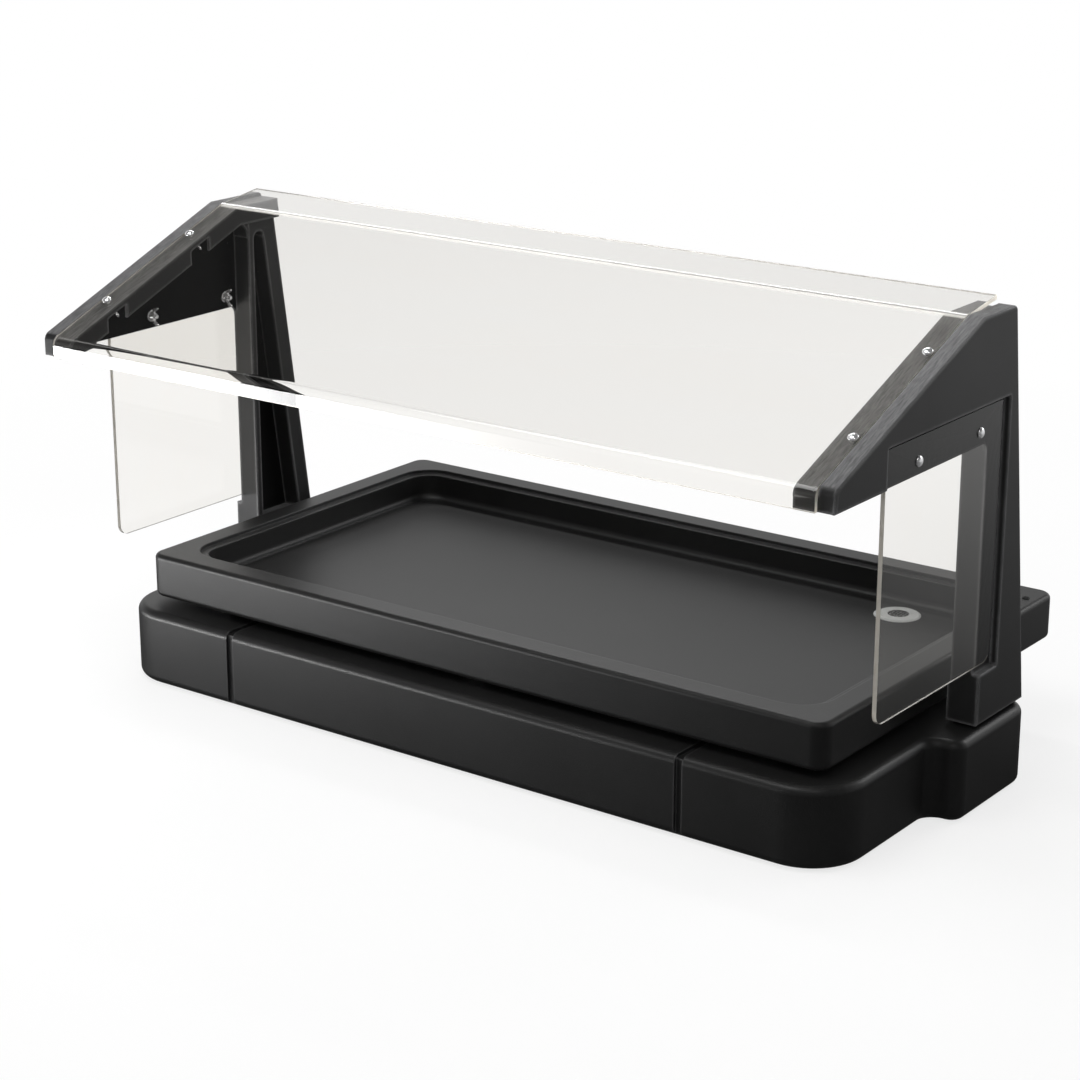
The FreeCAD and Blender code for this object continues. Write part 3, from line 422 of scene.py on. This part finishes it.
def drop_inner_skins(bm):
    """Remove closed hollows that lie wholly inside the piece and can't be seen."""
    groups = [(box_of(group), group) for group in islands(bm)]
    for box, group in groups:
        if any(lies_inside(box, outer) for outer, _ in groups):
            bmesh.ops.delete(bm, geom=list(group), context="VERTS")


# Room that a rounded edge needs beside it and at its ends, in widths of the rounding
ROOM = 2.5
# An edge that is cut short at a crowded corner is at least this many such rooms long
LEAST_ROOMS = 2.5
# Share of an edge's length at each end where the room beside it doesn't count
END_SHARE = 0.02
# Sides of a face no further than this from an edge lie along it
ON_LINE = 0.001 * MM


def room_beside(edge, face):
    """Least distance, square to one of a face's edges, from that edge to the face's other sides."""
    start = next(loop.vert for loop in face.loops if loop.edge == edge)
    along = edge.other_vert(start).co - start.co
    length = along.length
    along.normalize()
    across = face.normal.cross(along)
    places = [((vert.co - start.co).dot(along), (vert.co - start.co).dot(across)) for vert in face.verts]
    least = math.inf
    for (a, a_away), (b, b_away) in zip(places, places[1:] + places[:1]):
        first = max(min(a, b), END_SHARE * length)
        last = min(max(a, b), (1 - END_SHARE) * length)
        if first < last:
            aways = [a_away + (b_away - a_away) * (place - a) / (b - a) for place in (first, last)]
            least = min([least] + [away for away in aways if away > ON_LINE])
    return least


def roomy_edges(bm, sharp, width):
    """Outward sharp edges with room for the rounding, without the stretches next to crowded corners."""
    room = ROOM * width
    sharp = set(sharp)
    roomy = {edge for edge in sharp if edge.is_convex
             and min(room_beside(edge, face) for face in edge.link_faces) > room}
    stuck = True
    while stuck:
        crowded = {vert for edge in roomy for vert in edge.verts for near in vert.link_edges
                   if near not in roomy and (near in sharp or near.calc_length() < room)}
        stuck = {edge for edge in roomy
                 if edge.calc_length() < LEAST_ROOMS * room and crowded.intersection(edge.verts)}
        roomy -= stuck
    bm.edges.index_update()
    stretches = []
    for edge in sorted(roomy, key=lambda item: item.index):
        for vert in [vert for vert in edge.verts if vert in crowded]:
            cut_off, _ = bmesh.utils.edge_split(edge, vert, room / edge.calc_length())
            edge = max(edge, cut_off, key=lambda item: item.calc_length())
        stretches.append(edge)
    return stretches


def round_edges(bm, edges, width, segments, fitted=True):
    """Round some edges; a fitted rounding gets narrower all over where it would run into another edge."""
    bmesh.ops.bevel(bm, geom=edges, offset=width, offset_type="OFFSET", segments=segments, profile=0.5,
                    affect="EDGES", clamp_overlap=fitted)


def refined(node, width, segments=3, hollow=False, stopped=False, before=None, after=None):
    """Copy of a CAD node with its sharp edges softly rounded, which stands for the node.

    Stopped roundings lie on outward edges only, at full width, and end before crowded corners.
    """
    bm = bmesh.new()
    bm.from_mesh(nodes[node].data)
    bmesh.ops.remove_doubles(bm, verts=bm.verts, dist=WELD)
    if hollow:
        drop_inner_skins(bm)
    bmesh.ops.dissolve_limit(bm, angle_limit=FLAT_WITHIN, verts=bm.verts, edges=bm.edges)
    bm.normal_update()
    if before is not None:
        before(bm)
    sharp = [edge for edge in bm.edges
             if len(edge.link_faces) == 2 and edge.calc_face_angle(0.0) > SHARP_ABOVE]
    if stopped:
        round_edges(bm, roomy_edges(bm, sharp, width), width, segments, fitted=False)
    else:
        round_edges(bm, sharp, width, segments)
    if after is not None:
        after(bm)
    return stand_in(node, bm)


def skin(bm, rings, closed=False):
    """Faces between rings of equal numbers of vertices; a closed skin joins the last ring to the first."""
    count = len(rings[0])
    pairs = list(zip(rings, rings[1:]))
    if closed:
        pairs.append((rings[-1], rings[0]))
    for low, high in pairs:
        for i in range(count):
            j = (i + 1) % count
            bm.faces.new((low[i], low[j], high[j], high[i]))


def circle(bm, radius, height, count):
    """Ring of vertices about the Z axis."""
    turns = [2 * math.pi * i / count for i in range(count)]
    return [bm.verts.new((radius * math.cos(turn), radius * math.sin(turn), height)) for turn in turns]


def stand(origin, up, along):
    """Placement that takes local Z to one direction and local X near another."""
    z = Vector(up).normalized()
    x = (Vector(along) - z * z.dot(Vector(along))).normalized()
    place = Matrix((x, z.cross(x), z)).transposed().to_4x4()
    place.translation = origin
    return place


def add_to(whole, bm):
    """Move one mesh into another."""
    part = bpy.data.meshes.new("part")
    bm.to_mesh(part)
    bm.free()
    whole.from_mesh(part)
    bpy.data.meshes.remove(part)


def turn_axis(node):
    """Place and direction of the axis that a wing nut turns about."""
    joint = joints[f"{node}_turn"]
    return Vector(joint["pos_m"]), Vector(joint["axis"]).normalized()


# Finishes of single faces

# Least part of a face's normal along the direction that it faces
FACING = 0.6
# Faces this near to the guard's lowest or rearmost line are on its cut edge
AT_EDGE = 1.5 * MM
# Inboard faces of a post beyond this are at the bottom of its pocket or channel
POCKET_X, POCKET_FACING = 606 * MM, 0.5

guard_low, guard_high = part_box("guard_sheet")


def second_finish(obj, finish, belongs):
    """Give some of a piece's faces their own finish."""
    obj.data.materials.append(finishes[finish])
    last = len(obj.data.materials) - 1
    for face in obj.data.polygons:
        if belongs(face):
            face.material_index = last


def is_guard_edge(face):
    """Cut edges at both ends, along the front lip and along the rear."""
    at_end = abs(face.normal.x) > FACING
    at_lip = face.normal.z < -FACING and face.center.z < guard_low[2] + AT_EDGE
    at_rear = face.normal.y > FACING and face.center.y > guard_high[1] - AT_EDGE
    return at_end or at_lip or at_rear


def is_pocket(face):
    """Inboard faces at the bottom of a post's pocket and channel, which are matt and darkened with painted
    shade.
    """
    outward = math.copysign(1, face.center.x)
    return abs(face.center.x) > POCKET_X and face.normal.x * outward < -POCKET_FACING


def is_panel_front(face):
    """Front edge of a side panel; its rear one lies in the post's recess."""
    return face.normal.y < -FACING


def is_panel_bottom(face):
    """Bottom edge of a side panel, darkened with painted shade for the shade of the tray and the plinth."""
    return face.normal.z < -FACING


def is_panel_top(face):
    """Top edge of a side panel, darkened with painted shade for the shade of the post's recess."""
    return face.normal.z > FACING


# Posts

# Front tip of an arm beside the guard: its upper edge lies before and above these, and is rounded this far
TIP_Y, TIP_Z, TIP_ROUND, TIP_SEGMENTS = -367 * MM, 525 * MM, 7 * MM, 6
# The tip's edges turn at least this much, and run across the arm at least this far
TIP_TURN, TIP_ACROSS = math.radians(2), 0.01 * MM
# Arch between a post's arm and its column, in mm: its corner at the column's front, its top under the arm's
# lip, how far it reaches into the column and below its round, and the underside of the arm that it meets
ARCH_FRONT_Y, ARCH_TOP_Z, ARCH_RADIUS, ARCH_INTO, ARCH_BELOW, PLATE_Z = 10, 631, 26, 3, 1, 656.5
ARCH_INNER_X, ARCH_WEB_X, ARCH_RIM, ARCH_STEPS = 600, 630.5, 1.2, 12


def round_tip(bm):
    """Round the upper front edge of the post's arm."""
    edges = []
    for edge in bm.edges:
        a, b = (vert.co for vert in edge.verts)
        at_tip = max(a.y, b.y) < TIP_Y and min(a.z, b.z) > TIP_Z
        if at_tip and abs(a.x - b.x) > TIP_ACROSS and edge.calc_face_angle(0.0) > TIP_TURN:
            edges.append(edge)
    round_edges(bm, edges, TIP_ROUND, TIP_SEGMENTS)
    bm.normal_update()


def make_arch(side):
    """Arched corner of the post's pocket, between the column and the underside of the arm."""
    sign = -1 if side == "left" else 1
    middle_y, middle_z = ARCH_FRONT_Y - ARCH_RADIUS, ARCH_TOP_Z - ARCH_RADIUS
    outline = []
    for i in range(ARCH_STEPS + 1):
        turn = 0.5 * math.pi * i / ARCH_STEPS
        outline.append((middle_y + ARCH_RADIUS * math.sin(turn), middle_z + ARCH_RADIUS * math.cos(turn)))
    rear_y = ARCH_FRONT_Y + ARCH_INTO
    outline += [(rear_y, middle_z - ARCH_BELOW), (rear_y, PLATE_Z), (middle_y, PLATE_Z)]
    bm = bmesh.new()
    ends = [[bm.verts.new((sign * x * MM, y * MM, z * MM)) for y, z in outline]
            for x in (ARCH_INNER_X, ARCH_WEB_X)]
    skin(bm, ends)
    for end in ends:
        bm.faces.new(end)
    bmesh.ops.recalc_face_normals(bm, faces=bm.faces)
    rim = [edge for edge in bm.edges if all(vert in ends[0] for vert in edge.verts)]
    round_edges(bm, rim, ARCH_RIM * MM, 3)
    new_piece(f"post_{side}_arch", bm, node_body[f"post_{side}"], node_slot[f"post_{side}"])


# Dome screws, in mm

HEAD_RADIUS, HEAD_HEIGHT, HEAD_EDGE, HEAD_CHAMFER = 7.0, 4.5, 0.5, 0.12
SHANK_RADIUS, THREAD_ROOT, THREAD_PITCH, THREAD_LENGTH = 3.0, 2.6, 1.0, 15
# Where a thread's root and its next crest lie, in pitches below the last crest
ROOT_PLACE, CREST_PLACE = 0.45, 0.9
SCREW_SIDES, DOME_STEPS = 64, 18
# Points of a pair of screws that lie nearer than this to an axis belong to that screw
SCREW_REACH = 9
# Any direction that isn't along a screw, to turn it by
SCREW_SIDEWAYS = (0.3, 1, 0.2)


def screw(bm, length):
    """Screw with a smooth dome head, seated on z = 0, with a thread on the shank's end."""
    profile = []
    for step in range(1, DOME_STEPS + 1):
        share = math.sin(0.5 * math.pi * step / DOME_STEPS)
        crown = (HEAD_HEIGHT - HEAD_EDGE) * math.sqrt(max(0.0, 1 - share ** 2))
        profile.append((HEAD_RADIUS * share, HEAD_EDGE + crown))
    profile += [(HEAD_RADIUS, HEAD_CHAMFER), (HEAD_RADIUS - HEAD_CHAMFER, 0), (SHANK_RADIUS, 0)]
    height = THREAD_LENGTH - length
    profile.append((SHANK_RADIUS, height))
    while height > THREAD_PITCH - length:
        profile += [(THREAD_ROOT, height - ROOT_PLACE * THREAD_PITCH),
                    (SHANK_RADIUS, height - CREST_PLACE * THREAD_PITCH),
                    (SHANK_RADIUS, height - THREAD_PITCH)]
        height -= THREAD_PITCH
    profile.append((THREAD_ROOT, -length))
    rings = [circle(bm, radius, height, SCREW_SIDES) for radius, height in reversed(profile)]
    skin(bm, rings)
    bm.faces.new(reversed(rings[0]))
    top, middle = rings[-1], bm.verts.new((0, 0, HEAD_HEIGHT))
    for i in range(SCREW_SIDES):
        bm.faces.new((middle, top[i], top[(i + 1) % SCREW_SIDES]))


def make_screws(kind, side):
    """Both screws of one side's guard arm or side panel, along their nuts' axes."""
    node = f"{kind}_screws_{side}"
    whole = bmesh.new()
    for spot in SPOTS:
        origin, axis = turn_axis(f"{kind}_wing_nut_{side}_{spot}")
        offsets = [vert.co - origin for vert in nodes[node].data.vertices]
        reach = [offset.dot(axis) for offset in offsets
                 if (offset - axis * offset.dot(axis)).length < SCREW_REACH * MM]
        top, end = max(reach), min(reach)
        bm = bmesh.new()
        screw(bm, (top - end) / MM - HEAD_HEIGHT)
        seat = origin + axis * (top - HEAD_HEIGHT * MM)
        bm.transform(stand(seat, axis, SCREW_SIDEWAYS) @ Matrix.Scale(MM, 4))
        add_to(whole, bm)
    stand_in(node, whole)


# Wing nuts, in mm: the hub's outline as radius and height, a wing's outline as reach and height, and the
# layers through a wing's thickness as place and how far its outline draws in

HUB = [(3.08, 0), (6.5, 0), (7, 0.5), (7, 1.5), (6.3, 2.4), (5.3, 6.2), (4.7, 7), (3.6, 7), (3.08, 6.5)]
HUB_SIDES = 48
WING = [(3.9, 1.8), (7.2, 1.6), (10.4, 3.8), (12.9, 7.2), (13.7, 10.4), (12.3, 12.7), (10.0, 11.6),
        (7.6, 8.0), (5.6, 5.9), (3.9, 5.4)]
WING_LAYERS = [(-1.5, 0.85), (-1.32, 0.35), (-0.85, 0.0), (0.85, 0.0), (1.32, 0.35), (1.5, 0.85)]
WING_STEPS = 4


def rounded_outline(points, steps):
    """Smooth closed line through points."""
    line = []
    count = len(points)
    for i in range(count):
        before, a, b, after = (Vector(points[(i + k) % count]) for k in (-1, 0, 1, 2))
        for step in range(steps):
            t = step / steps
            line.append(0.5 * (2 * a + (b - before) * t + (2 * before - 5 * a + 4 * b - after) * t * t
                               + (3 * a - before - 3 * b + after) * t ** 3))
    return line


def drawn_in(line, amount):
    """The same closed line, moved inwards."""
    count = len(line)
    moved = []
    for i in range(count):
        along = (line[(i + 1) % count] - line[i - 1]).normalized()
        moved.append(line[i] + amount * Vector((-along.y, along.x)))
    return moved


def wing_nut(bm):
    """Wing nut seated on z = 0, with its wings along X."""
    skin(bm, [circle(bm, radius, height, HUB_SIDES) for radius, height in HUB], closed=True)
    line = rounded_outline(WING, WING_STEPS)
    for sign in (1, -1):
        layers = []
        for place, inset in WING_LAYERS:
            layers.append([bm.verts.new((sign * point.x, place, point.y)) for point in drawn_in(line, inset)])
        skin(bm, layers)
        bm.faces.new(layers[0])
        bm.faces.new(reversed(layers[-1]))
    bmesh.ops.recalc_face_normals(bm, faces=bm.faces)


def make_wing_nut(node):
    """Wing nut against its seat; the guard's wings lie level at rest, the panels' stand upright."""
    origin, axis = turn_axis(node)
    seat = max((vert.co - origin).dot(axis) for vert in nodes[node].data.vertices)
    wings_along = (1, 0, 0) if node.startswith("guard") else (0, 0, 1)
    bm = bmesh.new()
    wing_nut(bm)
    bm.transform(stand(origin + axis * seat, -axis, wings_along) @ Matrix.Scale(MM, 4))
    stand_in(node, bm)


# Filling plug: place on the tray's rim, and its outline from the middle outwards as radius and height in mm

PLUG_X, PLUG_Y = 552 * MM, 326 * MM
PLUG = [(1.2, 0.25), (2.9, 0.3), (3.6, 1.0), (4.4, 1.2), (5.1, 0.9), (5.4, -0.5)]
PLUG_SIDES = 40


def make_filling_plug():
    """Small dished plug in the hole through which the tray was filled with foam."""
    rim_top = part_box("tray_shell")[1][2]
    bm = bmesh.new()
    rings = [circle(bm, radius, height, PLUG_SIDES) for radius, height in PLUG]
    skin(bm, rings)
    bm.faces.new(rings[0])
    bm.faces.new(rings[-1])
    bmesh.ops.recalc_face_normals(bm, faces=bm.faces)
    bm.transform(Matrix.Translation((PLUG_X, PLUG_Y, rim_top)) @ Matrix.Scale(MM, 4))
    new_piece("tray_filling_plug", bm, node_body["tray_shell"], node_slot["drain_gasket"])


# Drain

# Barbs along the hose tail: the first root's place, their spacing and number, and the length of the step up
BARB_FIRST, BARB_PITCH, BARB_COUNT, BARB_STEP = 297 * MM, 5.5 * MM, 5, 0.5 * MM
# The tail's axis, where its tip begins, and the radius at the roots and the tip
TAIL_X, TAIL_Z, TAIL_TIP_Y, BARB_ROOT = 380 * MM, 84 * MM, 321.4 * MM, 8 * MM
# Corners no further than this from a cut lie on it
ON_CUT = 0.0001 * MM
# Finger ribs on the lever: number, height of the first above the lever's end, spacing, size and rounding
RIB_COUNT, RIB_FIRST, RIB_PITCH, RIB_ROUND = 6, 7 * MM, 4 * MM, 0.6 * MM
RIB_SIZE = (1.6 * MM, 8.6 * MM, 2 * MM)


def cut_barbs(bm):
    """Saw-tooth barbs round the valve's hose tail: each steps up from its root and falls away to the tip."""
    roots = []
    for i in range(BARB_COUNT):
        root_y = BARB_FIRST + i * BARB_PITCH
        for y in (root_y, root_y + BARB_STEP):
            geometry = list(bm.verts) + list(bm.edges) + list(bm.faces)
            cut = bmesh.ops.bisect_plane(bm, geom=geometry, dist=ON_CUT, plane_co=(0, y, 0),
                                         plane_no=(0, 1, 0))
            if y == root_y:
                roots += [item for item in cut["geom_cut"] if isinstance(item, bmesh.types.BMVert)]
    roots += [vert for vert in bm.verts if vert.co.y > TAIL_TIP_Y]
    for vert in roots:
        from_axis = Vector((vert.co.x - TAIL_X, 0, vert.co.z - TAIL_Z))
        if from_axis.length > BARB_ROOT:
            vert.co -= from_axis * (1 - BARB_ROOT / from_axis.length)
    bm.normal_update()


def make_lever_grip():
    """Raised finger ribs across the outer face of the lever's end."""
    low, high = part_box("drain_lever")
    whole = bmesh.new()
    for i in range(RIB_COUNT):
        bm = bmesh.new()
        bmesh.ops.create_cube(bm, size=1)
        middle = (high[0], 0.5 * (low[1] + high[1]), low[2] + RIB_FIRST + i * RIB_PITCH)
        bm.transform(Matrix.Translation(middle) @ Matrix.Diagonal((*RIB_SIZE, 1)))
        round_edges(bm, bm.edges, RIB_ROUND, 3, fitted=False)
        add_to(whole, bm)
    new_piece("drain_lever_ribs", whole, node_body["drain_lever"], node_slot["drain_lever"])


# All pieces

refined("plinth_shell", 1.6 * MM, hollow=True)
refined("tray_shell", 1.4 * MM, hollow=True)
panels = []
for side in SIDES:
    post = refined(f"post_{side}", 1.0 * MM, stopped=True, before=round_tip)
    second_finish(post, "shaded_black", is_pocket)
    make_arch(side)
    panel = refined(f"side_panel_{side}", 0.7 * MM, 2)
    second_finish(panel, "acrylic_edge", is_panel_front)
    second_finish(panel, "acrylic_low_edge", is_panel_bottom)
    second_finish(panel, "shaded_black", is_panel_top)
    panels.append(panel)
    refined(f"post_foot_pad_{side}", 0.8 * MM)
    refined(f"post_bolts_{side}", 0.5 * MM)
    refined(f"post_bolt_washers_{side}", 0.3 * MM, 2)
    for kind in ("guard", "panel"):
        refined(f"{kind}_washers_{side}", 0.25 * MM, 2)
        make_screws(kind, side)
        for spot in SPOTS:
            make_wing_nut(f"{kind}_wing_nut_{side}_{spot}")
guard = refined("guard_sheet", 0.3 * MM, 2, stopped=True)
guard.data.materials[0] = finishes["bent_acrylic"]
second_finish(guard, "acrylic_edge", is_guard_edge)
refined("plinth_non_slip_pads", 0.8 * MM)
refined("tray_runners", 1.0 * MM)
refined("drain_flange", 0.4 * MM)
refined("drain_strainer", 0.2 * MM, 2, stopped=True)
refined("drain_gasket", 0.4 * MM)
refined("drain_locknut", 0.8 * MM)
refined("drain_valve_body", 0.5 * MM, stopped=True, after=cut_barbs)
refined("drain_lever", 0.9 * MM)
make_lever_grip()
make_filling_plug()
for name, obj in nodes.items():
    paint(obj, node_slot[name])


# Floor, light and camera

# Level directions from the photograph's side to behind the bar, for the backdrop and for the floor
BACKDROP_WAY, FLOOR_WAY = (-0.35, 0.94, 0), (0.2, 0.98, 0)
FLOOR_RADIUS, FLOOR_SIDES = 60, 96


def by_ray(tree, direct, gloss, lit):
    """One value for what is seen straight or through glass, one for gloss, one for light on the bar."""
    path = tree.nodes.new("ShaderNodeLightPath")
    seen = map_range(tree, path.outputs["Glossy Depth"], 0.0, 1.0, direct, gloss)
    return map_range(tree, path.outputs["Diffuse Depth"], 0.0, 1.0, seen, lit)


def make_world():
    """White to the camera and even light on the bar; in gloss, white behind the bar and dim elsewhere."""
    world = bpy.data.worlds.new("studio")
    bpy.context.scene.world = world
    world.use_nodes = True
    tree = world.node_tree
    sky = tree.nodes["Background"]
    sky.inputs["Color"].default_value = (1, 1, 1, 1)
    direction = tree.nodes.new("ShaderNodeTexCoord").outputs["Generated"]
    split = tree.nodes.new("ShaderNodeSeparateXYZ")
    tree.links.new(direction, split.inputs["Vector"])
    level = map_range(tree, along_direction(tree, direction, BACKDROP_WAY), -0.2, 0.5, 0.25, 1.0)
    backdrop = map_range(tree, split.outputs["Z"], 0.25, 0.6, level, 0.03)
    tree.links.new(by_ray(tree, 1.0, backdrop, 0.4), sky.inputs["Strength"])


def make_floor():
    """Wide white floor that keeps the bar's soft shadow; in gloss it's dark, and paler behind the bar."""
    bm = bmesh.new()
    bmesh.ops.create_circle(bm, cap_ends=True, segments=FLOOR_SIDES, radius=FLOOR_RADIUS)
    mesh = bpy.data.meshes.new("floor")
    bm.to_mesh(mesh)
    bm.free()
    finish = Finish("floor_white", specular_ior_level=0.0, roughness=1.0)
    tree = finish.tree
    finish.colours(finish.noise(2.0), (0.86, 0.86, 0.86), (0.9, 0.9, 0.9))
    glow = finish.add("ShaderNodeEmission")
    glow.inputs["Color"].default_value = (1, 1, 1, 1)
    gloss = map_range(tree, along_direction(tree, finish.coords, FLOOR_WAY), 0.3, 2.4, 0.06, 0.65)
    finish.link(by_ray(tree, 1.0, gloss, 1.0), glow.inputs["Strength"])
    away = finish.add("ShaderNodeVectorMath")
    away.operation = "LENGTH"
    finish.link(finish.coords, away.inputs[0])
    white = map_range(tree, away.outputs["Value"], 0.8, 2.2, 0.75, 1.0)
    finish.mixed_surface(by_ray(tree, white, 1.0, 0.0), glow.outputs["Emission"])
    mesh.materials.append(finish.material)
    add_object("floor", mesh)


def look_at(obj, place, target):
    """Place a lamp or a camera and point it at a target."""
    obj.location = place
    obj.rotation_euler = (Vector(target) - Vector(place)).to_track_quat("-Z", "Y").to_euler()


def fade_out(light, start):
    """Let a lamp fade out along its length, from one share of it to its end."""
    light.use_nodes = True
    tree = light.node_tree
    along = tree.nodes.new("ShaderNodeSeparateXYZ")
    tree.links.new(tree.nodes.new("ShaderNodeNewGeometry").outputs["Parametric"], along.inputs["Vector"])
    squared = tree.nodes.new("ShaderNodeMath")
    squared.operation = "POWER"
    squared.inputs[1].default_value = 2.0
    tree.links.new(map_range(tree, along.outputs["X"], start, 1.0, 1.0, 0.0), squared.inputs[0])
    tree.links.new(squared.outputs["Value"], tree.nodes["Emission"].inputs["Strength"])


def lamp(name, place, aim, size, power):
    """Soft rectangular studio lamp, out of sight of the camera, also through the clear sheets."""
    light = bpy.data.lights.new(name, "AREA")
    light.shape = "RECTANGLE"
    light.size, light.size_y = size
    light.energy = power
    obj = add_object(name, light)
    look_at(obj, place, aim)
    obj.visible_camera = False
    obj.visible_transmission = False
    return obj


def spare(pieces, lamps):
    """Keep some lamps off some pieces, whose polish would mirror the lamps as hard white blocks."""
    spared = bpy.data.collections.new("spared")
    for piece in pieces:
        spared.objects.link(piece)
    for entry in spared.collection_objects:
        entry.light_linking.link_state = "EXCLUDE"
    for obj in lamps:
        obj.light_linking.receiver_collection = spared


def make_lamps():
    """Overhead light, low lamps along the front, a strip behind the guard, a small key and a rear fill."""
    lamp("overhead", (-0.5, -1.15, 3.0), aim=(0.0, -0.1, 0.3), size=(2.2, 1.8), power=48)
    front_left = lamp("front_left", (-0.95, -0.9, 0.07), aim=(-0.3, -0.25, 0.15), size=(1.1, 0.12), power=7.6)
    front_strip = lamp("front_strip", (-1.25, -1.55, 0.1), aim=(-1.25, -0.3, 0.6), size=(1.5, 0.18), power=19)
    fade_out(front_strip.data, start=0.45)
    lamp("rear_strip", (-1.7, 1.75, 2.45), aim=(-1.7, 0.0, 0.6), size=(2.6, 0.2), power=30)
    lamp("key", (1.9, -1.9, 2.6), aim=(-0.4, -0.1, 0.5), size=(0.35, 0.35), power=8)
    lamp("rear_fill", (1.5, 2.1, 1.6), aim=(0.2, 0.0, 0.3), size=(1.2, 1.0), power=16)
    spare(panels, [front_left, front_strip])


def make_camera():
    """Camera of the photograph, from the fit to its straight edges; it sees to the floor's far side."""
    data = bpy.data.cameras.new("camera")
    data.sensor_width = 36
    data.lens = 88.1
    data.clip_end = 200
    obj = add_object("camera", data)
    look_at(obj, place=(2.0813, -2.8729, 1.3904), target=(0.15292, -0.27194, 0.35))
    bpy.context.scene.camera = obj


make_world()
make_floor()
make_lamps()
make_camera()
bpy.context.scene.view_settings.view_transform = "Standard"
